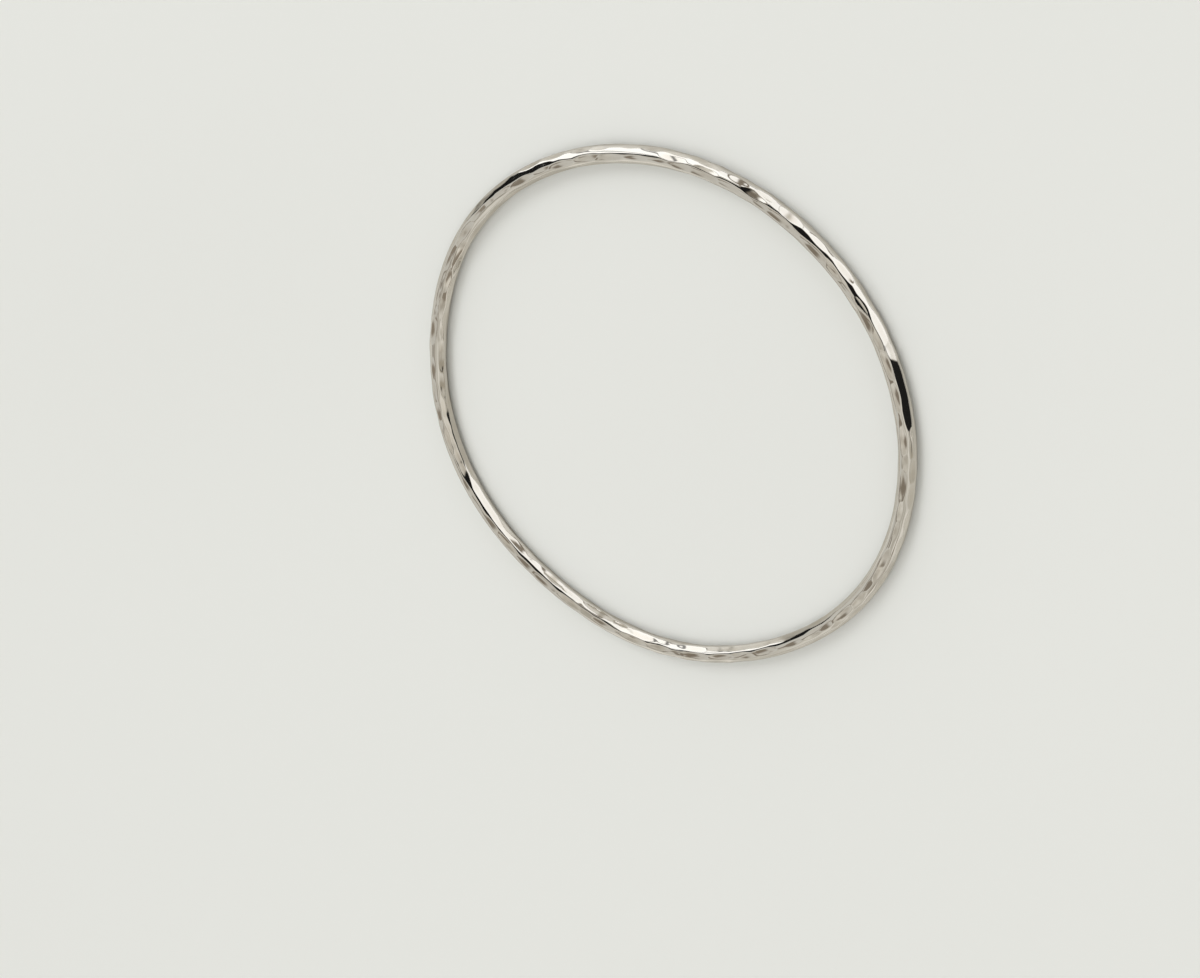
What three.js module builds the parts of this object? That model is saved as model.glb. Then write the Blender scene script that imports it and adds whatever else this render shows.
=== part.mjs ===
// A plain closed bangle: one length of round silver wire, bent and soldered into a hoop,
// hammered all over with a small hammer and polished. Millimetres, +Z up.
// It lies on its side. The origin is the hoop's axis at the level of what it rests on.

import * as THREE from "three";
import { mergeVertices } from "three/addons/utils/BufferGeometryUtils.js";

// Driving dimensions.
const INNER_DIAMETER = 65; // the clear opening that a hand passes through
const WIRE_DIAMETER = 2.3; // the round wire before it is hammered
const UNDERSIDE_DEPTH = 1.1; // from the wire's centre down to the trued underside

// The faceted form: flats, not corners, lie at the wire's top and bottom.
const WIRE_SIDES = 14;
const RING_STEPS = 240;

// The hammer's two faces: each one's radius along the wire and across it. The domed face leaves
// shallow lenses, longer along the wire than across it, and the other leaves flats.
const FACES = {
  domed: { along: 18, across: 6 },
  flat: { along: 120, across: 40 },
};
const RIDGE_ROUNDING = 0.03; // how far polishing rounds the ridge between two marks
const DEPTH_SPREAD = 0.05; // how far a mark is shallower or deeper than its pass's depth
const SPACING_SPREAD = 1.1; // how far a mark lies from its even place along the wire
const ANGLE_SPREAD = 7; // degrees that a mark lies from its pass's place round the wire
const WIDEST_MARK = 60; // degrees round the wire, either side of a mark's middle, that it can reach
const RANDOM_SEED = 20;

// The passes of the hammer along the wire. Angles are round the wire: 0 is the side that faces
// away from the wrist, 90 is the top. A pass wanders to and fro by `wander` degrees, `waves`
// times in a turn of the hoop, and `stagger` shifts its marks by a share of their spacing.
const PASSES = [
  { side: "outer", angle: 33, marks: 57, depth: 0.1, wander: 5, waves: 3, stagger: 0.0 },
  { side: "outer top", angle: 91, marks: 60, depth: 0.1, wander: 6, waves: 2, stagger: 0.5 },
  { side: "inner top", angle: 152, marks: 58, depth: 0.095, wander: 5, waves: 4, stagger: 0.2 },
  { side: "inner", angle: 210, marks: 54, depth: 0.09, wander: 4, waves: 3, stagger: 0.7 },
  { side: "inner base", angle: 266, marks: 56, depth: 0.09, wander: 6, waves: 2, stagger: 0.4 },
  { side: "outer base", angle: 330, marks: 59, depth: 0.1, wander: 5, waves: 5, stagger: 0.9 },
];

// Lighter marks that fall anywhere, with their depth and how far it varies.
const STRAY_MARKS = { count: 150, depth: 0.06, spread: 0.02 };

// Short runs of even blows. Angles are in degrees: `first` and `last` round the hoop, and
// `wireAngle` round the wire. The blows fall `sway` to one side of their line and the other, in turn.
const RUNS = [
  { first: 78, last: 91.5, marks: 4, wireAngle: 150, depth: 0.12, sway: 0, face: FACES.domed },
  { first: 57, last: 73, marks: 5, wireAngle: 127, depth: 0.12, sway: 0, face: FACES.domed },
  { first: 56, last: 72, marks: 5, wireAngle: 175, depth: 0.12, sway: 0, face: FACES.domed },
  { first: 355, last: 359.5, marks: 2, wireAngle: 50, depth: 0.09, sway: 3, face: FACES.flat },
  { first: 345.5, last: 350, marks: 2, wireAngle: 60, depth: 0.075, sway: 4, face: FACES.flat },
  { first: 263, last: 267, marks: 2, wireAngle: 63, depth: 0.012, sway: 3, face: FACES.flat },
  { first: 275, last: 284, marks: 4, wireAngle: 64, depth: 0.014, sway: 3, face: FACES.flat },
  { first: 248, last: 257, marks: 3, wireAngle: 32, depth: 0.12, sway: 2, face: FACES.flat },
  { first: 240.5, last: 244, marks: 2, wireAngle: 40, depth: 0.11, sway: 4, face: FACES.flat },
];

// The boldest marks, struck last. Angles are in degrees, round the hoop and round the wire.
const CHIEF_MARKS = [
  { ringAngle: 94, wireAngle: 154, depth: 0.14, face: FACES.domed },
  { ringAngle: 64, wireAngle: 104, depth: 0.14, face: FACES.domed },
  { ringAngle: 37, wireAngle: 84, depth: 0.16, face: FACES.domed },
  { ringAngle: 29.5, wireAngle: 129, depth: 0.14, face: FACES.domed },
  { ringAngle: 24.5, wireAngle: 124, depth: 0.14, face: FACES.domed },
  { ringAngle: 16, wireAngle: 128, depth: 0.15, face: FACES.domed },
  { ringAngle: 11, wireAngle: 90, depth: 0.15, face: FACES.domed },
  { ringAngle: 3, wireAngle: 48, depth: 0.13, face: FACES.domed },
  { ringAngle: 311.5, wireAngle: 56, depth: 0.12, face: FACES.domed },
  { ringAngle: 304, wireAngle: 64, depth: 0.1, face: FACES.domed },
  { ringAngle: 293, wireAngle: 59, depth: 0.12, face: FACES.domed },
  { ringAngle: 286, wireAngle: 95, depth: 0.14, face: FACES.domed },
  { ringAngle: 276, wireAngle: 93, depth: 0.14, face: FACES.domed },
  { ringAngle: 270, wireAngle: 73, depth: 0.05, face: FACES.flat },
  { ringAngle: 262.5, wireAngle: 70, depth: 0.11, face: FACES.domed },
  { ringAngle: 259, wireAngle: 92, depth: 0.14, face: FACES.domed },
  { ringAngle: 250, wireAngle: 87, depth: 0.14, face: FACES.domed },
  { ringAngle: 243.5, wireAngle: 88, depth: 0.13, face: FACES.domed },
  { ringAngle: 234, wireAngle: 87, depth: 0.14, face: FACES.domed },
  { ringAngle: 224, wireAngle: 91, depth: 0.14, face: FACES.domed },
  { ringAngle: 205, wireAngle: 90, depth: 0.14, face: FACES.domed },
];

// Stretches of the hoop, in degrees round it, where the hammer fell more lightly. The full
// force returns over the last part of a stretch, from `FADE.from` to `FADE.to` half lengths.
const LIGHT_STRETCHES = [
  { middle: 73, halfLength: 12, share: 0.35 },
  { middle: 242, halfLength: 9, share: 0.4 },
  { middle: 318, halfLength: 8, share: 0.6 },
];
const FADE = { from: 0.7, to: 1.3 };

// The hoop's small departures from a true circle, as waves round it.
const OUT_OF_ROUND = [
  { waves: 4, height: 0.045, phase: -59 },
  { waves: 5, height: 0.087, phase: -19 },
  { waves: 6, height: 0.088, phase: 77 },
];

const WIRE_RADIUS = WIRE_DIAMETER / 2;
const RING_RADIUS = INNER_DIAMETER / 2 + WIRE_RADIUS;
const FULL_TURN = 2 * Math.PI;
const radians = THREE.MathUtils.degToRad;

// A polygon of this radius has the same area as the round wire.
const SIDE_ANGLE = FULL_TURN / WIRE_SIDES;
const CORNER_RADIUS = WIRE_RADIUS * Math.sqrt(SIDE_ANGLE / Math.sin(SIDE_ANGLE));

// A repeatable run of numbers from 0 to 1, by the usual linear congruence.
const CONGRUENCE = { factor: 1664525, step: 1013904223, modulus: 2 ** 32 };
function randomRun(seed) {
  let state = seed;
  return () => {
    state = (state * CONGRUENCE.factor + CONGRUENCE.step) % CONGRUENCE.modulus;
    return state / CONGRUENCE.modulus;
  };
}

// An angle brought into the half turn either side of zero.
function nearAngle(angle) {
  return angle - FULL_TURN * Math.round(angle / FULL_TURN);
}

// How hard the hammer fell at an angle round the hoop, in degrees: 1 is the full depth.
function strength(ringAngle) {
  let share = 1;
  for (const stretch of LIGHT_STRETCHES) {
    const away = Math.abs(nearAngle(radians(ringAngle - stretch.middle)));
    const halfLengths = away / radians(stretch.halfLength);
    const inside = 1 - THREE.MathUtils.smoothstep(halfLengths, FADE.from, FADE.to);
    share = Math.min(share, 1 + (stretch.share - 1) * inside);
  }
  return share;
}

// The marks of a run, laid out evenly from its first to its last.
function runMarks(run) {
  const step = (run.last - run.first) / (run.marks - 1);
  return Array.from({ length: run.marks }, (_, i) => ({
    ringAngle: run.first + i * step,
    wireAngle: run.wireAngle + run.sway * (-1) ** i,
    depth: run.depth,
    face: run.face,
  }));
}

// Every mark: its angles round the hoop and round the wire, in degrees, its depth and its face.
function hammerMarks() {
  const random = randomRun(RANDOM_SEED);
  const either = () => 2 * random() - 1;
  const marks = [];
  for (const pass of PASSES) {
    for (let i = 0; i < pass.marks; i += 1) {
      const even = (360 * (i + pass.stagger)) / pass.marks;
      const ringAngle = even + THREE.MathUtils.radToDeg((SPACING_SPREAD * either()) / RING_RADIUS);
      const drift = pass.wander * Math.sin(radians(pass.waves * even + pass.stagger * 360));
      const wireAngle = pass.angle + drift + ANGLE_SPREAD * either();
      const depth = (pass.depth + DEPTH_SPREAD * either()) * strength(ringAngle);
      marks.push({ ringAngle, wireAngle, depth, face: FACES.domed });
    }
  }
  for (let i = 0; i < STRAY_MARKS.count; i += 1) {
    const ringAngle = 360 * random();
    const wireAngle = 360 * random();
    const depth = (STRAY_MARKS.depth + STRAY_MARKS.spread * either()) * strength(ringAngle);
    marks.push({ ringAngle, wireAngle, depth, face: FACES.domed });
  }
  return [...marks, ...RUNS.flatMap(runMarks), ...CHIEF_MARKS];
}

// The lower of two heights, with the crease between them rounded.
function roundedLower(a, b) {
  const blend = Math.max(0, 1 - Math.abs(a - b) / RIDGE_ROUNDING);
  return Math.min(a, b) - (RIDGE_ROUNDING / 4) * blend * blend;
}

// The wire's radius at a place on its surface, after all the marks.
function hammeredRadius(ringAngle, wireAngle, marks) {
  let radius = WIRE_RADIUS;
  for (const mark of marks) {
    const along = nearAngle(ringAngle - radians(mark.ringAngle)) * RING_RADIUS;
    const turn = nearAngle(wireAngle - radians(mark.wireAngle));
    if (Math.abs(turn) > radians(WIDEST_MARK)) continue;
    const hoopCurve = Math.cos(radians(mark.wireAngle)) / RING_RADIUS;
    const riseAlong = (along ** 2 / 2) * (1 / mark.face.along + hoopCurve);
    const riseAcross = (WIRE_RADIUS * Math.sin(turn)) ** 2 / (2 * mark.face.across);
    const floor = WIRE_RADIUS - mark.depth + riseAlong + riseAcross;
    radius = roundedLower(radius, floor / Math.cos(turn));
  }
  return radius;
}

// The hoop's centreline radius at an angle round it.
function hoopRadius(ringAngle) {
  let radius = RING_RADIUS;
  for (const wave of OUT_OF_ROUND) {
    radius += wave.height * Math.cos(wave.waves * ringAngle - radians(wave.phase));
  }
  return radius;
}

// A smooth torus whose every point is moved to the hammered surface, with the underside trued flat.
function hammeredHoop() {
  const torus = new THREE.TorusGeometry(RING_RADIUS, CORNER_RADIUS, WIRE_SIDES, RING_STEPS);
  torus.deleteAttribute("normal");
  torus.deleteAttribute("uv");
  const geometry = mergeVertices(torus);
  const points = geometry.getAttribute("position");
  const marks = hammerMarks();
  for (let i = 0; i < points.count; i += 1) {
    const x = points.getX(i);
    const y = points.getY(i);
    const ringAngle = Math.atan2(y, x);
    const wireAngle = Math.atan2(points.getZ(i), Math.hypot(x, y) - RING_RADIUS);
    const hammered = hammeredRadius(ringAngle, wireAngle, marks) * (CORNER_RADIUS / WIRE_RADIUS);
    const fromAxis = hoopRadius(ringAngle) + hammered * Math.cos(wireAngle);
    const height = Math.max(hammered * Math.sin(wireAngle), -UNDERSIDE_DEPTH);
    points.setXYZ(i, fromAxis * Math.cos(ringAngle), fromAxis * Math.sin(ringAngle), height);
  }
  geometry.computeVertexNormals();
  return geometry;
}

const polishedSilver = new THREE.MeshStandardMaterial({
  color: "#e9e5dc",
  roughness: 0.18,
  metalness: 1,
});

const hoop = new THREE.Mesh(hammeredHoop(), polishedSilver);
hoop.name = "hammered_hoop";
hoop.position.z = UNDERSIDE_DEPTH;

const bangle = new THREE.Group();
bangle.add(hoop);

export default bangle;
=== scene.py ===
"""A closed bangle of hammered and polished silver wire, lying on a pale studio floor.

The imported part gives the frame: where the hoop lies and the level of the floor under it.
This script makes the finished hoop in its place, gives it the surface of hand-hammered
sterling silver, and sets a plain soft studio round it.
"""

import logging
import math
from dataclasses import dataclass, field
from enum import Enum

import bpy
import numpy as np
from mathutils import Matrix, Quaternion, Vector


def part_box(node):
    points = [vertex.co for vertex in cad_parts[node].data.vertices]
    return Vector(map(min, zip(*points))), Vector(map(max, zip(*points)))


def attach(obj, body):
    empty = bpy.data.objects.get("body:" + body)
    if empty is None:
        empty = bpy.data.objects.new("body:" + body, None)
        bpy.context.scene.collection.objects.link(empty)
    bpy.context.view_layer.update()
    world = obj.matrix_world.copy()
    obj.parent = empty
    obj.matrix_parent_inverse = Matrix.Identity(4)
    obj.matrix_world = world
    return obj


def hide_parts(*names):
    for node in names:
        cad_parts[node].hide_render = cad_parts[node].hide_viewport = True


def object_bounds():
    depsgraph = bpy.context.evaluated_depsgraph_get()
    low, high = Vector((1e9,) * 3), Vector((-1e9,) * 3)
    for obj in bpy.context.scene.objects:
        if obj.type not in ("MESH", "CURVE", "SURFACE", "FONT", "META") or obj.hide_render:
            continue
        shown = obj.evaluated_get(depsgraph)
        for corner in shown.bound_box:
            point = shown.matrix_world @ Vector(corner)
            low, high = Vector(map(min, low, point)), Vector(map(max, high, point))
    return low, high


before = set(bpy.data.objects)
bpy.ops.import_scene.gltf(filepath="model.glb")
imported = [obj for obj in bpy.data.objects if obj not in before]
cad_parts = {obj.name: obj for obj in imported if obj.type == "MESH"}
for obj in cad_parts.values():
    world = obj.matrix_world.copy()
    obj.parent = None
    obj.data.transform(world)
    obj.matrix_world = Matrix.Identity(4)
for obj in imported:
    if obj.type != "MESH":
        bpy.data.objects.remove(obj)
CAD_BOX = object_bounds()

MM = 0.001
HOOP_NODE = "hammered_hoop"
HOLLOW_ATTRIBUTE = "hollow"

# The sRGB curve: straight up to its knee, and a power above it.
SRGB_KNEE = 0.04045
SRGB_SLOPE = 12.92
SRGB_OFFSET = 0.055
SRGB_POWER = 2.4

# A colour Mix node's sockets go by number, because its number sockets have the same names.
MIX_SHARE = 0
MIX_FIRST = 6
MIX_SECOND = 7
MIX_RESULT = 2

log = logging.getLogger("bangle")


def linear(hex_colour: str) -> tuple[float, float, float, float]:
    """Turn an sRGB hex colour into the linear one that shaders work in.

    Args:
        hex_colour: Six hex digits after a hash, such as "#F2EFE8".

    Returns:
        Red, green, blue and an alpha of 1, each from 0 to 1.
    """
    channels = [int(hex_colour[i : i + 2], 16) / 255 for i in (1, 3, 5)]
    red, green, blue = [
        c / SRGB_SLOPE if c <= SRGB_KNEE else ((c + SRGB_OFFSET) / (1 + SRGB_OFFSET)) ** SRGB_POWER
        for c in channels
    ]
    return red, green, blue, 1.0


def add_node(
    tree: bpy.types.NodeTree,
    kind: str,
    inputs: dict[str | int, object] | None = None,
    **settings: object,
) -> bpy.types.Node:
    """Add one shader node, set it and link it.

    Args:
        tree: The node tree that it goes into.
        kind: The node's type name, such as "ShaderNodeMath".
        inputs: Input name or number to a value, or to the output socket that feeds it.
        settings: The node's own properties, such as operation="MULTIPLY".

    Returns:
        The new node.
    """
    node = tree.nodes.new(kind)
    for name, value in settings.items():
        setattr(node, name, value)
    for key, value in (inputs or {}).items():
        if isinstance(value, bpy.types.NodeSocket):
            tree.links.new(value, node.inputs[key])
        else:
            node.inputs[key].default_value = value
    return node


def direction_to(azimuth: float, elevation: float) -> Vector:
    """Give the direction to a place round the set.

    Args:
        azimuth: Degrees from +X towards +Y.
        elevation: Degrees above the floor.

    Returns:
        A vector of length 1.
    """
    turn = math.radians(azimuth)
    rise = math.radians(elevation)
    return Vector((math.cos(rise) * math.cos(turn), math.cos(rise) * math.sin(turn), math.sin(rise)))


def near_angle(angle: np.ndarray) -> np.ndarray:
    """Bring angles in radians into the half turn either side of zero."""
    return angle - math.tau * np.round(angle / math.tau)


def vertex_positions(piece: bpy.types.Object) -> np.ndarray:
    """Read where a mesh's vertices are.

    Args:
        piece: The mesh object.

    Returns:
        Their positions in metres, a row for each.
    """
    points = np.empty(len(piece.data.vertices) * 3)
    piece.data.vertices.foreach_get("co", points)
    return points.reshape(-1, 3)


class Side(Enum):
    """Where round the wire a pass of the hammer runs, in degrees.

    0 is the side that faces away from the wrist and 90 is the top.
    """

    OUTER = 33.0
    OUTER_TOP = 91.0
    INNER_TOP = 152.0
    INNER = 210.0
    INNER_BASE = 266.0
    OUTER_BASE = 330.0


class Face(Enum):
    """The hammer's two faces: each one's radius along the wire and across it, in millimetres."""

    DOMED = (18.0, 6.0)
    FLAT = (120.0, 40.0)


@dataclass(frozen=True)
class HammerPass:
    """One pass of the hammer along the whole wire."""

    side: Side
    marks: int
    depth: float  # millimetres, of a middling mark
    wander: float  # degrees that the pass drifts to and fro round the wire
    waves: int  # drifts in one turn of the hoop
    stagger: float  # shift of the marks, as a share of their spacing


@dataclass(frozen=True)
class LightStretch:
    """A stretch of the hoop where the hammer fell more lightly."""

    middle: float  # degrees round the hoop
    half_length: float  # degrees
    share: float  # of the full depth


@dataclass(frozen=True)
class Mark:
    """One hammer mark: the middle of a shallow lens or facet."""

    ring_angle: float  # degrees round the hoop
    wire_angle: float  # degrees round the wire
    depth: float  # millimetres under the round wire
    face: Face = Face.DOMED


@dataclass(frozen=True)
class BlowRun:
    """A short run of even blows along the wire. Angles are in degrees."""

    first: float  # round the hoop
    last: float
    marks: int
    wire_angle: float  # round the wire
    depth: float  # millimetres
    sway: float = 0.0  # how far the blows fall to one side of their line and the other, in turn
    face: Face = Face.DOMED

    def struck(self) -> list[Mark]:
        """Lay out the run's marks, evenly from its first to its last.

        Returns:
            The marks, in the order in which they are struck.
        """
        step = (self.last - self.first) / (self.marks - 1)
        sides = [self.sway * (-1) ** i for i in range(self.marks)]
        return [
            Mark(self.first + i * step, self.wire_angle + side, self.depth, self.face)
            for i, side in enumerate(sides)
        ]


class RandomRun:
    """A repeatable run of numbers, by the usual linear congruence."""

    FACTOR = 1664525
    STEP = 1013904223
    MODULUS = 2**32

    def __init__(self, seed: int) -> None:
        """Start the run at a seed."""
        self.state = seed

    def share(self) -> float:
        """Return the next number, from 0 to 1."""
        self.state = (self.state * self.FACTOR + self.STEP) % self.MODULUS
        return self.state / self.MODULUS

    def either(self) -> float:
        """Return the next number, from -1 to 1."""
        return 2 * self.share() - 1


@dataclass
class HammerWork:
    """How the wire is hammered.

    The domed face leaves shallow lenses, longer along the wire, and the flat face leaves
    broad facets. All lengths are in millimetres and all angles in degrees.
    """

    wire_radius: float
    ring_radius: float
    ridge_rounding: float = 0.03  # how far apart two marks' surfaces are where they start to blend
    depth_spread: float = 0.05  # of a pass's marks, either way
    spacing_spread: float = 1.1
    angle_spread: float = 7.0
    widest_mark: float = 60.0  # how far round the wire a mark can reach from its middle
    longest_mark: float = 4.5  # and how far along the wire
    seed: int = 20
    stray_marks: int = 150
    stray_depth: float = 0.06
    stray_spread: float = 0.02
    fade_from: float = 0.7  # where a light stretch's edge fades, in its own half lengths
    fade_to: float = 1.3
    passes: tuple[HammerPass, ...] = (
        HammerPass(Side.OUTER, marks=57, depth=0.1, wander=5, waves=3, stagger=0.0),
        HammerPass(Side.OUTER_TOP, marks=60, depth=0.1, wander=6, waves=2, stagger=0.5),
        HammerPass(Side.INNER_TOP, marks=58, depth=0.095, wander=5, waves=4, stagger=0.2),
        HammerPass(Side.INNER, marks=54, depth=0.09, wander=4, waves=3, stagger=0.7),
        HammerPass(Side.INNER_BASE, marks=56, depth=0.09, wander=6, waves=2, stagger=0.4),
        HammerPass(Side.OUTER_BASE, marks=59, depth=0.1, wander=5, waves=5, stagger=0.9),
    )
    light_stretches: tuple[LightStretch, ...] = (
        LightStretch(middle=73, half_length=12, share=0.35),
        LightStretch(middle=242, half_length=9, share=0.4),
        LightStretch(middle=318, half_length=8, share=0.6),
    )
    runs: tuple[BlowRun, ...] = (
        BlowRun(first=78, last=91.5, marks=4, wire_angle=150, depth=0.12),
        BlowRun(first=57, last=73, marks=5, wire_angle=127, depth=0.12),
        BlowRun(first=56, last=72, marks=5, wire_angle=175, depth=0.12),
        BlowRun(first=355, last=359.5, marks=2, wire_angle=50, depth=0.09, sway=3, face=Face.FLAT),
        BlowRun(first=345.5, last=350, marks=2, wire_angle=60, depth=0.075, sway=4, face=Face.FLAT),
        BlowRun(first=263, last=267, marks=2, wire_angle=63, depth=0.012, sway=3, face=Face.FLAT),
        BlowRun(first=275, last=284, marks=4, wire_angle=64, depth=0.014, sway=3, face=Face.FLAT),
        BlowRun(first=248, last=257, marks=3, wire_angle=32, depth=0.12, sway=2, face=Face.FLAT),
        BlowRun(first=240.5, last=244, marks=2, wire_angle=40, depth=0.11, sway=4, face=Face.FLAT),
    )
    chief_marks: tuple[Mark, ...] = (
        Mark(ring_angle=94, wire_angle=154, depth=0.14),
        Mark(ring_angle=64, wire_angle=104, depth=0.14),
        Mark(ring_angle=37, wire_angle=84, depth=0.16),
        Mark(ring_angle=29.5, wire_angle=129, depth=0.14),
        Mark(ring_angle=24.5, wire_angle=124, depth=0.14),
        Mark(ring_angle=16, wire_angle=128, depth=0.15),
        Mark(ring_angle=11, wire_angle=90, depth=0.15),
        Mark(ring_angle=3, wire_angle=48, depth=0.13),
        Mark(ring_angle=311.5, wire_angle=56, depth=0.12),
        Mark(ring_angle=304, wire_angle=64, depth=0.1),
        Mark(ring_angle=293, wire_angle=59, depth=0.12),
        Mark(ring_angle=286, wire_angle=95, depth=0.14),
        Mark(ring_angle=276, wire_angle=93, depth=0.14),
        Mark(ring_angle=270, wire_angle=73, depth=0.05, face=Face.FLAT),
        Mark(ring_angle=262.5, wire_angle=70, depth=0.11),
        Mark(ring_angle=259, wire_angle=92, depth=0.14),
        Mark(ring_angle=250, wire_angle=87, depth=0.14),
        Mark(ring_angle=243.5, wire_angle=88, depth=0.13),
        Mark(ring_angle=234, wire_angle=87, depth=0.14),
        Mark(ring_angle=224, wire_angle=91, depth=0.14),
        Mark(ring_angle=205, wire_angle=90, depth=0.14),
    )

    def strength(self, ring_angle: float) -> float:
        """Say how hard the hammer fell at a place round the hoop.

        Args:
            ring_angle: The place, in degrees.

        Returns:
            A share of the full depth.
        """
        share = 1.0
        for stretch in self.light_stretches:
            away = abs((ring_angle - stretch.middle + 180) % 360 - 180)
            half_lengths = away / stretch.half_length
            step = min(max((half_lengths - self.fade_from) / (self.fade_to - self.fade_from), 0.0), 1.0)
            inside = 1 - step * step * (3 - 2 * step)
            share = min(share, 1 + (stretch.share - 1) * inside)
        return share

    def marks(self) -> list[Mark]:
        """Lay out every mark of every pass, then the strays, the runs and the chief marks.

        Returns:
            The marks, in the order in which they are struck.
        """
        run = RandomRun(self.seed)
        marks = []
        for blows in self.passes:
            for i in range(blows.marks):
                even = 360 * (i + blows.stagger) / blows.marks
                ring_angle = even + math.degrees(self.spacing_spread * run.either() / self.ring_radius)
                drift = blows.wander * math.sin(math.radians(blows.waves * even + blows.stagger * 360))
                wire_angle = blows.side.value + drift + self.angle_spread * run.either()
                depth = (blows.depth + self.depth_spread * run.either()) * self.strength(ring_angle)
                marks.append(Mark(ring_angle, wire_angle, depth))
        for _ in range(self.stray_marks):
            ring_angle = 360 * run.share()
            wire_angle = 360 * run.share()
            depth = (self.stray_depth + self.stray_spread * run.either()) * self.strength(ring_angle)
            marks.append(Mark(ring_angle, wire_angle, depth))
        for blows in self.runs:
            marks.extend(blows.struck())
        return marks + list(self.chief_marks)

    def surface(self, ring_angle: np.ndarray, wire_angle: np.ndarray) -> np.ndarray:
        """Measure how deep the hammered surface lies under the round wire's.

        Args:
            ring_angle: Places round the hoop, in radians.
            wire_angle: Places round the wire, in radians.

        Returns:
            The depth at each place, in millimetres.
        """
        radius = np.full(ring_angle.shape, self.wire_radius)
        for mark in self.marks():
            along = near_angle(ring_angle - math.radians(mark.ring_angle)) * self.ring_radius
            turn = near_angle(wire_angle - math.radians(mark.wire_angle))
            reach = (np.abs(turn) < math.radians(self.widest_mark)) & (np.abs(along) < self.longest_mark)
            near = np.flatnonzero(reach)
            along, turn = along[near], turn[near]
            hoop_curve = math.cos(math.radians(mark.wire_angle)) / self.ring_radius
            radius_along, radius_across = mark.face.value
            rise_along = along**2 / 2 * (1 / radius_along + hoop_curve)
            rise_across = (self.wire_radius * np.sin(turn)) ** 2 / (2 * radius_across)
            floor = (self.wire_radius - mark.depth + rise_along + rise_across) / np.cos(turn)
            # The lower of the two surfaces is kept, with a rounded ridge where they cross.
            blend = np.clip(1 - np.abs(radius[near] - floor) / self.ridge_rounding, 0, None)
            radius[near] = np.minimum(radius[near], floor) - self.ridge_rounding / 4 * blend**2
        return self.wire_radius - radius


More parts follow.
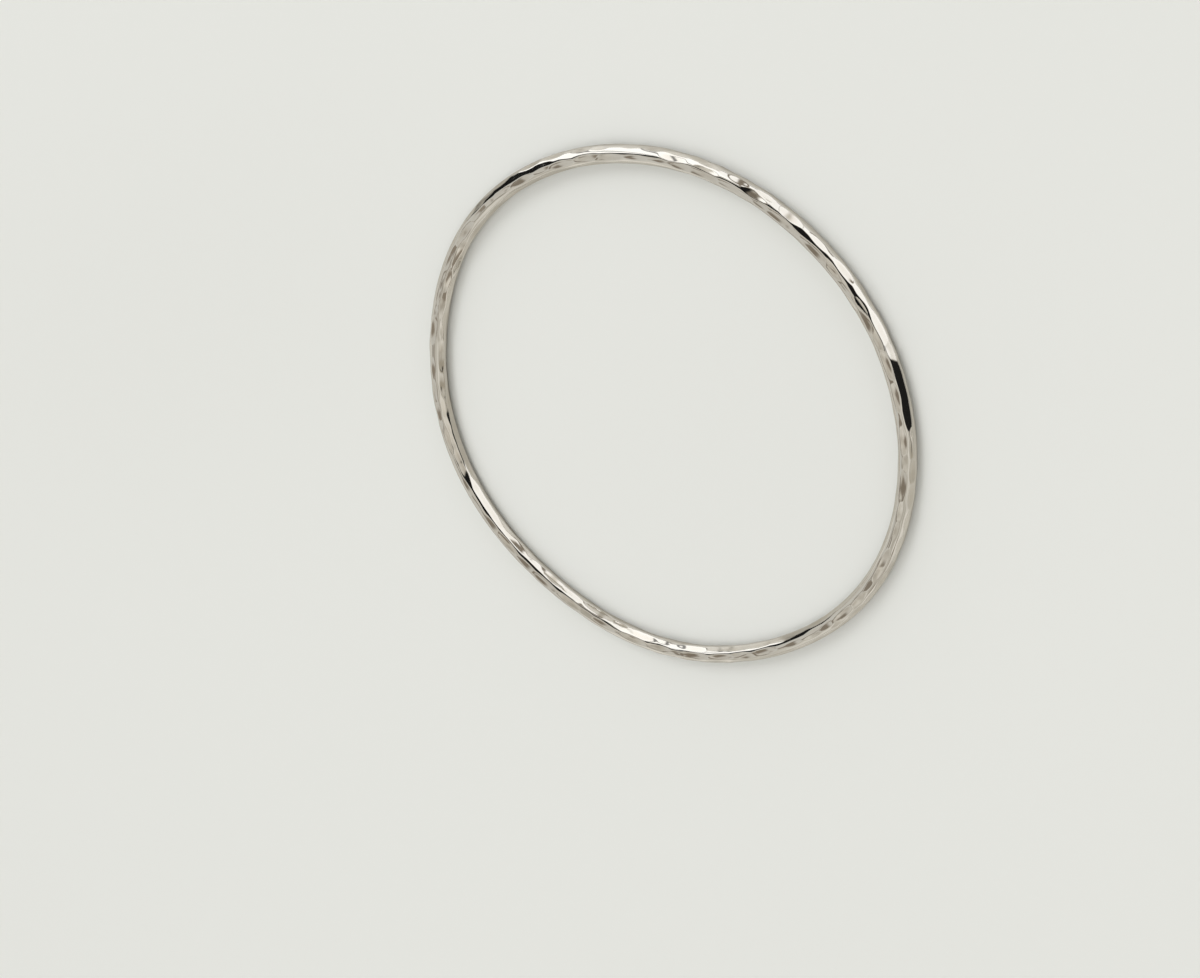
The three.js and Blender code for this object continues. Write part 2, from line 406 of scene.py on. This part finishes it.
@dataclass(frozen=True)
class HammeredSilver:
    """Sterling silver, hammered, pickled and buffed on a soft wheel.

    It gives the eye a bright, faintly warm mirror. The buff reaches the ridges fully and the
    hollows less, so the hollows keep a thin warm film and a softer gloss. Fine buffing lines
    run along the wire.
    """

    name: str = "buffed_sterling_silver"
    ridge_colour: str = "#E6E3DC"
    hollow_colour: str = "#D8D1C5"
    ridge_gloss: float = 0.04  # roughness where the buff bears
    hollow_gloss: float = 0.08  # roughness in the hollows
    line_spacing: float = 0.09  # millimetres between buffing lines: drawn coarser, to show
    line_length: float = 3.0  # millimetres
    line_depth: float = 0.0005  # millimetres
    line_detail: float = 2.0  # octaves of noise
    film_patch: float = 1.6  # millimetres across an uneven patch of the film
    film_detail: float = 3.0  # octaves of noise
    film_noise: tuple[float, float] = (0.3, 0.7)  # the noise where the film is thinnest and fullest
    thinnest_film: float = 0.35  # as a share of the fullest

    def film(self, tree: bpy.types.NodeTree, place: bpy.types.Node) -> bpy.types.NodeSocket:
        """Lay the film that the buff leaves in the hollows.

        Args:
            tree: The material's node tree.
            place: The node that gives the texture coordinates.

        Returns:
            A socket that is 0 where the silver is bare and 1 under the full film.
        """
        hollow = add_node(tree, "ShaderNodeAttribute", attribute_name=HOLLOW_ATTRIBUTE)
        patches = add_node(
            tree,
            "ShaderNodeTexNoise",
            {
                "Vector": place.outputs["Object"],
                "Scale": 1 / (self.film_patch * MM),
                "Detail": self.film_detail,
            },
        )
        uneven = add_node(
            tree,
            "ShaderNodeMapRange",
            {
                "Value": patches.outputs["Fac"],
                "From Min": self.film_noise[0],
                "From Max": self.film_noise[1],
                "To Min": self.thinnest_film,
                "To Max": 1.0,
            },
        )
        film = add_node(
            tree,
            "ShaderNodeMath",
            {0: hollow.outputs["Fac"], 1: uneven.outputs["Result"]},
            operation="MULTIPLY",
            use_clamp=True,
        )
        return film.outputs["Value"]

    def buffing_lines(
        self,
        tree: bpy.types.NodeTree,
        place: bpy.types.Node,
        wire_length: float,
        wire_girth: float,
    ) -> bpy.types.NodeSocket:
        """Draw the fine lines that the buff leaves along the wire.

        Args:
            tree: The material's node tree.
            place: The node that gives the texture coordinates.
            wire_length: The wire's length round the hoop, in millimetres.
            wire_girth: The distance round the wire, in millimetres.

        Returns:
            The socket of the bumped normal.
        """
        along = add_node(
            tree,
            "ShaderNodeMapping",
            {
                "Vector": place.outputs["UV"],
                "Scale": (wire_length / self.line_length, wire_girth / self.line_spacing, 1.0),
            },
        )
        lines = add_node(
            tree,
            "ShaderNodeTexNoise",
            {"Vector": along.outputs["Vector"], "Scale": 1.0, "Detail": self.line_detail},
        )
        bump = add_node(
            tree,
            "ShaderNodeBump",
            {"Height": lines.outputs["Fac"], "Strength": 1.0, "Distance": self.line_depth * MM},
        )
        return bump.outputs["Normal"]

    def material(self, wire_length: float, wire_girth: float) -> bpy.types.Material:
        """Make the material.

        Args:
            wire_length: The wire's length round the hoop, in millimetres.
            wire_girth: The distance round the wire, in millimetres.

        Returns:
            The material, which reads the hoop's hollow attribute and its own UV map.
        """
        material = bpy.data.materials.new(self.name)
        material.use_nodes = True
        tree = material.node_tree
        shader = tree.nodes["Principled BSDF"]
        shader.inputs["Metallic"].default_value = 1.0
        place = add_node(tree, "ShaderNodeTexCoord")
        film = self.film(tree, place)
        colour = add_node(
            tree,
            "ShaderNodeMix",
            {
                MIX_SHARE: film,
                MIX_FIRST: linear(self.ridge_colour),
                MIX_SECOND: linear(self.hollow_colour),
            },
            data_type="RGBA",
        )
        gloss = add_node(
            tree,
            "ShaderNodeMapRange",
            {"Value": film, "To Min": self.ridge_gloss, "To Max": self.hollow_gloss},
        )
        lines = self.buffing_lines(tree, place, wire_length, wire_girth)
        tree.links.new(colour.outputs[MIX_RESULT], shader.inputs["Base Color"])
        tree.links.new(gloss.outputs["Result"], shader.inputs["Roughness"])
        tree.links.new(lines, shader.inputs["Normal"])
        return material


@dataclass(frozen=True)
class Wave:
    """One wave of the hoop's departure from a true circle."""

    count: int
    height: float  # millimetres
    phase: float  # degrees


@dataclass
class HammeredHoop:
    """The whole bangle: one closed hoop of hammered round wire. Sizes are in millimetres."""

    inner_diameter: float = 65.0
    wire_diameter: float = 2.3
    underside_depth: float = 1.1  # from the wire's centre down to the trued underside
    sections: int = 1500  # round the hoop
    sides: int = 64  # round the wire
    finish: HammeredSilver = field(default_factory=HammeredSilver)
    out_of_round: tuple[Wave, ...] = (
        Wave(count=4, height=0.045, phase=-59),
        Wave(count=5, height=0.087, phase=-19),
        Wave(count=6, height=0.088, phase=77),
    )

    @property
    def wire_radius(self) -> float:
        """The round wire's radius before it is hammered."""
        return self.wire_diameter / 2

    @property
    def ring_radius(self) -> float:
        """The radius of the wire's centre line."""
        return self.inner_diameter / 2 + self.wire_radius

    def bend_wire(self) -> bpy.types.Object:
        """Sweep the wire's round section into a true closed hoop, centred on the origin.

        Returns:
            The hoop.
        """
        # The torus primitive stops at 256 sections without a word: too few for the hammer's marks.
        bpy.ops.object.select_all(action="DESELECT")
        bpy.ops.mesh.primitive_circle_add(
            vertices=self.sides,
            radius=self.wire_radius * MM,
            calc_uvs=False,
            location=(self.ring_radius * MM, 0, 0),
            rotation=(math.pi / 2, 0, 0),
        )
        bpy.ops.object.transform_apply(location=True, rotation=True, scale=True)
        hoop = bpy.context.object
        bend = hoop.modifiers.new("bend", "SCREW")
        bend.axis = "Z"
        bend.angle = math.tau
        bend.steps = self.sections
        bend.render_steps = self.sections
        bend.use_normal_calculate = True
        bpy.ops.object.modifier_apply(modifier=bend.name)
        bpy.ops.object.mode_set(mode="EDIT")
        bpy.ops.mesh.select_all(action="SELECT")
        bpy.ops.mesh.normals_make_consistent(inside=False)
        bpy.ops.object.mode_set(mode="OBJECT")
        hoop.name = "silver_hoop"
        hoop.data.name = "silver_hoop"
        return hoop

    def places(self, hoop: bpy.types.Object) -> tuple[np.ndarray, np.ndarray]:
        """Find where each vertex of the true hoop lies.

        Args:
            hoop: The hoop before any of its vertices has moved.

        Returns:
            The vertices' angles round the hoop and their angles round the wire, in radians.
        """
        points = vertex_positions(hoop)
        outwards = np.hypot(points[:, 0], points[:, 1]) - self.ring_radius * MM
        return np.arctan2(points[:, 1], points[:, 0]), np.arctan2(points[:, 2], outwards)

    def map_wire(self, hoop: bpy.types.Object, ring_angle: np.ndarray, wire_angle: np.ndarray) -> None:
        """Give the hoop a UV map that runs once along the wire and once round it.

        Args:
            hoop: The true hoop, all of whose faces have four corners.
            ring_angle: Each vertex's angle round the hoop, in radians.
            wire_angle: Each vertex's angle round the wire, in radians.
        """
        corners = np.empty(len(hoop.data.loops), dtype=np.int32)
        hoop.data.loops.foreach_get("vertex_index", corners)
        turns = np.stack((ring_angle, wire_angle), axis=1)[corners] / math.tau
        faces = turns.reshape(-1, 4, 2)
        # Where a face crosses the map's seam, its corners past the seam count on from it.
        faces += faces.max(axis=1, keepdims=True) - faces > 0.5
        hoop.data.uv_layers.new(name="wire").data.foreach_set("uv", faces.ravel())

    def hammer(self, hoop: bpy.types.Object, ring_angle: np.ndarray, wire_angle: np.ndarray) -> None:
        """Hammer the whole surface, each vertex to its own depth.

        Args:
            hoop: The true hoop.
            ring_angle: Each vertex's angle round the hoop, in radians.
            wire_angle: Each vertex's angle round the wire, in radians.
        """
        depth = HammerWork(self.wire_radius, self.ring_radius).surface(ring_angle, wire_angle)
        deepest = float(depth.max())
        shares = depth / deepest
        struck = hoop.vertex_groups.new(name="struck")
        for index, share in enumerate(shares.tolist()):
            struck.add([index], share, "REPLACE")
        blows = hoop.modifiers.new("hammer", "DISPLACE")
        blows.direction = "NORMAL"
        blows.mid_level = 0.0
        blows.strength = -deepest * MM
        blows.vertex_group = struck.name
        bpy.ops.object.modifier_apply(modifier=blows.name)
        hollow = hoop.data.attributes.new(HOLLOW_ATTRIBUTE, "FLOAT", "POINT")
        hollow.data.foreach_set("value", shares.astype(np.float32))

    def let_out_of_round(self, hoop: bpy.types.Object, ring_angle: np.ndarray) -> None:
        """Move the wire in and out a little, as the hammering leaves it.

        Args:
            hoop: The hammered hoop.
            ring_angle: Each vertex's angle round the hoop, in radians.
        """
        shift = np.zeros(ring_angle.shape)
        for wave in self.out_of_round:
            shift += wave.height * MM * np.cos(wave.count * ring_angle - math.radians(wave.phase))
        points = vertex_positions(hoop)
        points[:, 0] += shift * np.cos(ring_angle)
        points[:, 1] += shift * np.sin(ring_angle)
        hoop.data.vertices.foreach_set("co", points.ravel())
        hoop.data.update()

    def true_underside(self, hoop: bpy.types.Object) -> None:
        """Flatten the lowest spots into one plane and set that plane on the floor.

        Args:
            hoop: The hoop, still centred on the origin.
        """
        plane = -self.underside_depth * MM
        bpy.ops.object.mode_set(mode="EDIT")
        bpy.ops.mesh.select_mode(type="VERT")
        bpy.ops.mesh.select_all(action="DESELECT")
        bpy.ops.object.mode_set(mode="OBJECT")
        for vertex in hoop.data.vertices:
            vertex.select = vertex.co.z < plane
        bpy.ops.object.mode_set(mode="EDIT")
        bpy.ops.transform.resize(value=(1, 1, 0), center_override=(0, 0, plane))
        bpy.ops.mesh.select_all(action="SELECT")
        bpy.ops.transform.translate(value=(0, 0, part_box(HOOP_NODE)[0].z - plane))
        bpy.ops.object.mode_set(mode="OBJECT")

    def build(self) -> bpy.types.Object:
        """Make the hoop in its place.

        Returns:
            The finished hoop.
        """
        hoop = self.bend_wire()
        ring_angle, wire_angle = self.places(hoop)
        self.map_wire(hoop, ring_angle, wire_angle)
        self.hammer(hoop, ring_angle, wire_angle)
        self.let_out_of_round(hoop, ring_angle)
        self.true_underside(hoop)
        bpy.ops.object.shade_smooth()
        return hoop

    def dress(self, hoop: bpy.types.Object) -> None:
        """Give the hoop its finish.

        Args:
            hoop: The finished hoop.
        """
        length = math.tau * self.ring_radius
        girth = math.tau * self.wire_radius
        hoop.data.materials.clear()
        hoop.data.materials.append(self.finish.material(length, girth))

    def place(self, hoop: bpy.types.Object) -> None:
        """Tie the hoop to the part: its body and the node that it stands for.

        Args:
            hoop: The finished hoop.
        """
        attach(hoop, "root")
        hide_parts(HOOP_NODE)


@dataclass(frozen=True)
class Card:
    """A soft-edged card of light or shade round the set. Angles are in degrees.

    Azimuth 0 is +X and 90 is +Y, away from the camera. A later card covers an earlier one.
    """

    name: str
    towards: tuple[float, float]  # azimuth and elevation of its middle
    half_size: tuple[float, float]  # across and upwards
    edge: float  # how far the edge fades
    radiance: float
    colour: str = "#FFFFFF"


@dataclass(frozen=True)
class Lamp:
    """A square soft lamp that faces the middle of the set. Silver doesn't mirror it."""

    name: str
    azimuth: float  # degrees
    elevation: float  # degrees
    distance: float  # metres
    size: float  # metres
    power: float  # watts


LINEN = "#F6F4EE"
PALE_OAK = "#D8D0C0"
BROWN_OAK = "#D2C6B6"


@dataclass
class Studio:
    """A pale floor under soft light, with a few cards that the silver mirrors."""

    floor_size: float = 6.0  # metres
    floor_colour: str = "#E6E8E5"
    floor_mirrored: str = "#C8C6BF"  # painted shade: a darker tone that only reflections in the silver see, to keep its edge clear
    floor_roughness: float = 0.22
    floor_specular: float = 0.7
    room_light: str = "#EBE8E1"
    room_shade: str = "#B6B2A9"
    room_patches: float = 3.0  # patches of light and shade in one radian
    room_detail: float = 3.0  # octaves of noise
    room_noise: tuple[float, float] = (0.38, 0.62)  # the noise in full shade and in full light
    lamps: tuple[Lamp, ...] = (
        Lamp("softbox", azimuth=-20, elevation=42, distance=2.5, size=1.0, power=13),
        Lamp("overhead_scrim", azimuth=90, elevation=80, distance=3.0, size=4.0, power=39),
    )
    backdrop_radiance: float = 0.78
    backdrop_colour: str = "#FBFBF8"
    cards: tuple[Card, ...] = (
        Card("window", towards=(-3, 24), half_size=(31, 31), edge=3, radiance=1.35),
        Card("glazing_bar", towards=(-13, 24), half_size=(1.5, 31), edge=1.5, radiance=0.3),
        Card("glazing_bar", towards=(8, 24), half_size=(1.5, 31), edge=1.5, radiance=0.3),
        Card("curtain", towards=(-50, 18), half_size=(13, 30), edge=5, radiance=1.2),
        Card("curtain_fold", (-44, 22), half_size=(2.2, 22), edge=2, radiance=0.4, colour=BROWN_OAK),
        Card("white_wall", towards=(265.5, 15), half_size=(26.5, 24), edge=4, radiance=1.2),
        Card("pale_blind", towards=(68, 38), half_size=(26, 20), edge=14, radiance=0.68, colour=LINEN),
        Card("dim_corner", towards=(310, 52), half_size=(9, 6), edge=4, radiance=0.34, colour=BROWN_OAK),
        Card("window_post", towards=(36, 16), half_size=(8, 36), edge=2, radiance=0.012),
        Card("doorway", towards=(227, 12), half_size=(11.5, 31), edge=3, radiance=0.015),
        Card("brown_panel", towards=(204, 16), half_size=(3, 14), edge=5, radiance=0.6, colour=PALE_OAK),
        Card("lamp_shade", towards=(95, 55), half_size=(5, 6), edge=4, radiance=0.4, colour=BROWN_OAK),
        Card("wooden_rail", towards=(161, 32), half_size=(9, 5), edge=4, radiance=0.46, colour=BROWN_OAK),
        Card("wooden_shelf", towards=(76, 43), half_size=(4, 6), edge=4, radiance=0.46, colour=BROWN_OAK),
        Card("boom_arm", towards=(335, 69), half_size=(37, 7), edge=2, radiance=0.02),
        Card("dark_coat", towards=(276, 65), half_size=(20, 20), edge=3, radiance=0.012),
        Card("door_sill", towards=(211, 14), half_size=(5, 2.5), edge=2, radiance=0.12, colour=BROWN_OAK),
        Card("low_stool", towards=(281, 3), half_size=(5, 5), edge=3, radiance=0.4, colour=BROWN_OAK),
        Card("pale_sleeve", (280, 42.5), half_size=(22, 3), edge=3, radiance=0.42, colour=BROWN_OAK),
    )

    def light_room(self, tree: bpy.types.NodeTree, direction: bpy.types.NodeSocket) -> bpy.types.NodeSocket:
        """Light the room behind the cards, in soft patches.

        Args:
            tree: The world's node tree.
            direction: The socket that gives the direction.

        Returns:
            The room's light, as a shader socket.
        """
        patches = add_node(
            tree,
            "ShaderNodeTexNoise",
            {"Vector": direction, "Scale": self.room_patches, "Detail": self.room_detail},
        )
        share = add_node(
            tree,
            "ShaderNodeMapRange",
            {
                "Value": patches.outputs["Fac"],
                "From Min": self.room_noise[0],
                "From Max": self.room_noise[1],
            },
        )
        room = add_node(
            tree,
            "ShaderNodeMix",
            {
                MIX_SHARE: share.outputs["Result"],
                MIX_FIRST: linear(self.room_shade),
                MIX_SECOND: linear(self.room_light),
            },
            data_type="RGBA",
        )
        light = add_node(tree, "ShaderNodeBackground", {"Color": room.outputs[MIX_RESULT]})
        return light.outputs["Background"]

    def card_share(
        self,
        tree: bpy.types.NodeTree,
        direction: bpy.types.NodeSocket,
        card: Card,
    ) -> bpy.types.NodeSocket:
        """Say how much of a card lies in each direction.

        Args:
            tree: The world's node tree.
            direction: The socket that gives the direction.
            card: The card.

        Returns:
            A socket that is 1 on the card and 0 off it.
        """
        azimuth, elevation = card.towards
        middle = direction_to(azimuth, elevation)
        side = direction_to(azimuth + 90, 0)
        up = middle.cross(side)
        ahead, aside, above = [
            add_node(
                tree,
                "ShaderNodeVectorMath",
                {0: direction, 1: axis},
                operation="DOT_PRODUCT",
            ).outputs["Value"]
            for axis in (middle, side, up)
        ]
        across = add_node(tree, "ShaderNodeMath", {0: aside, 1: ahead}, operation="ARCTAN2")
        upwards = add_node(tree, "ShaderNodeMath", {0: above}, operation="ARCSINE")
        shares = []
        for angle, half in zip((across, upwards), card.half_size):
            away = add_node(tree, "ShaderNodeMath", {0: angle.outputs["Value"]}, operation="ABSOLUTE")
            share = add_node(
                tree,
                "ShaderNodeMapRange",
                {
                    "Value": away.outputs["Value"],
                    "From Min": math.radians(half + card.edge / 2),
                    "From Max": math.radians(half - card.edge / 2),
                },
                interpolation_type="SMOOTHSTEP",
            )
            shares.append(share.outputs["Result"])
        both = add_node(tree, "ShaderNodeMath", {0: shares[0], 1: shares[1]}, operation="MULTIPLY")
        return both.outputs["Value"]

    def surround(self) -> None:
        """Set the light of the room, its cards, and the plain backdrop that the camera sees."""
        world = bpy.data.worlds.new("studio")
        bpy.context.scene.world = world
        world.use_nodes = True
        tree = world.node_tree
        tree.nodes.clear()
        direction = add_node(tree, "ShaderNodeTexCoord").outputs["Generated"]
        light = self.light_room(tree, direction)
        for card in self.cards:
            glow = add_node(
                tree,
                "ShaderNodeBackground",
                {"Color": linear(card.colour), "Strength": card.radiance},
                label=card.name,
            )
            share = self.card_share(tree, direction, card)
            light = add_node(
                tree, "ShaderNodeMixShader", {0: share, 1: light, 2: glow.outputs["Background"]}
            ).outputs["Shader"]
        backdrop = add_node(
            tree,
            "ShaderNodeBackground",
            {"Color": linear(self.backdrop_colour), "Strength": self.backdrop_radiance},
            label="backdrop",
        )
        seen = add_node(tree, "ShaderNodeLightPath").outputs["Is Camera Ray"]
        light = add_node(
            tree, "ShaderNodeMixShader", {0: seen, 1: light, 2: backdrop.outputs["Background"]}
        ).outputs["Shader"]
        add_node(tree, "ShaderNodeOutputWorld", {"Surface": light})

    def floor_material(self) -> bpy.types.Material:
        """Make the floor's material: pale board with a satin face.

        Returns:
            The material. It gives the eye an even pale ground with a faint sheen at a low angle. Glossy
            rays, such as the silver's reflections, see a darker tone: painted shade.
        """
        material = bpy.data.materials.new("satin_board")
        material.use_nodes = True
        tree = material.node_tree
        shader = tree.nodes["Principled BSDF"]
        # Painted shade: glossy rays see the floor in a darker tone than the camera does.
        mirrored = add_node(tree, "ShaderNodeLightPath").outputs["Is Glossy Ray"]
        tone = add_node(
            tree,
            "ShaderNodeMix",
            {
                MIX_SHARE: mirrored,
                MIX_FIRST: linear(self.floor_colour),
                MIX_SECOND: linear(self.floor_mirrored),
            },
            data_type="RGBA",
        )
        tree.links.new(tone.outputs[MIX_RESULT], shader.inputs["Base Color"])
        shader.inputs["Roughness"].default_value = self.floor_roughness
        shader.inputs["Specular IOR Level"].default_value = self.floor_specular
        return material

    def lay_floor(self) -> bpy.types.Object:
        """Lay the pale floor at the level that the bangle rests on.

        Returns:
            The floor.
        """
        low, high = CAD_BOX
        centre = (low + high) / 2
        bpy.ops.object.select_all(action="DESELECT")
        bpy.ops.mesh.primitive_plane_add(size=self.floor_size, location=(centre.x, centre.y, low.z))
        floor = bpy.context.object
        floor.name = "floor"
        floor.data.materials.append(self.floor_material())
        return floor

    def hang_lamp(self, lamp: Lamp) -> bpy.types.Object:
        """Hang one lamp, facing the middle of the set.

        Args:
            lamp: The lamp.

        Returns:
            The lamp's object. The cards stand for the lamps in what the silver mirrors.
        """
        towards = direction_to(lamp.azimuth, lamp.elevation)
        bpy.ops.object.light_add(type="AREA", location=towards * lamp.distance)
        light = bpy.context.object
        light.name = lamp.name
        light.data.shape = "SQUARE"
        light.data.size = lamp.size
        light.data.energy = lamp.power
        light.rotation_euler = towards.to_track_quat("Z", "Y").to_euler()
        light.visible_glossy = False
        return light

    def set_view(self) -> None:
        """Keep the tones plain, with no film curve."""
        bpy.context.scene.view_settings.view_transform = "Standard"


@dataclass
class Camera:
    """The camera, placed from the hoop's middle. Distances are in hoop radii unless stated."""

    hoop: HammeredHoop
    distance: float = 7.807
    elevation: float = 51.5  # degrees above the hoop's plane
    azimuth: float = -90.0  # degrees round the hoop from +X
    aim_x: float = -0.089
    aim_y: float = 0.452
    roll: float = -128.3  # degrees
    lens: float = 63.0  # millimetres
    sensor: float = 36.0  # millimetres
    near_limit: float = 1.0
    far_limit: float = 100.0  # metres

    def build(self) -> bpy.types.Object:
        """Set up the camera.

        Returns:
            The camera, which the scene then looks through.
        """
        radius = self.hoop.ring_radius * MM
        low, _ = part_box(HOOP_NODE)
        middle = Vector((0.0, 0.0, low.z + self.hoop.underside_depth * MM))
        back = direction_to(self.azimuth, self.elevation)
        aim = middle + Vector((self.aim_x, self.aim_y, 0.0)) * radius
        bpy.ops.object.camera_add(location=middle + back * self.distance * radius)
        camera = bpy.context.object
        camera.name = "camera"
        camera.data.lens = self.lens
        camera.data.sensor_width = self.sensor
        camera.data.clip_start = self.near_limit * radius
        camera.data.clip_end = self.far_limit
        camera.rotation_mode = "QUATERNION"
        level = (aim - camera.location).to_track_quat("-Z", "Y")
        camera.rotation_quaternion = level @ Quaternion((0.0, 0.0, 1.0), math.radians(self.roll))
        bpy.context.scene.camera = camera
        return camera


def main() -> None:
    """Build the bangle, then the studio and the camera."""
    logging.basicConfig(level=logging.INFO, format="%(name)s: %(message)s")
    hoop_maker = HammeredHoop()
    Camera(hoop_maker).build()
    hoop = hoop_maker.build()
    hoop_maker.dress(hoop)
    hoop_maker.place(hoop)
    log.info("%s: %d vertices, material %s", hoop.name, len(hoop.data.vertices), hoop.data.materials[0].name)
    studio = Studio()
    studio.surround()
    studio.lay_floor()
    for lamp in studio.lamps:
        studio.hang_lamp(lamp)
    studio.set_view()
    log.info("studio: %d cards, floor %.1f m", len(studio.cards), studio.floor_size)


if __name__ == "__main__":
    main()
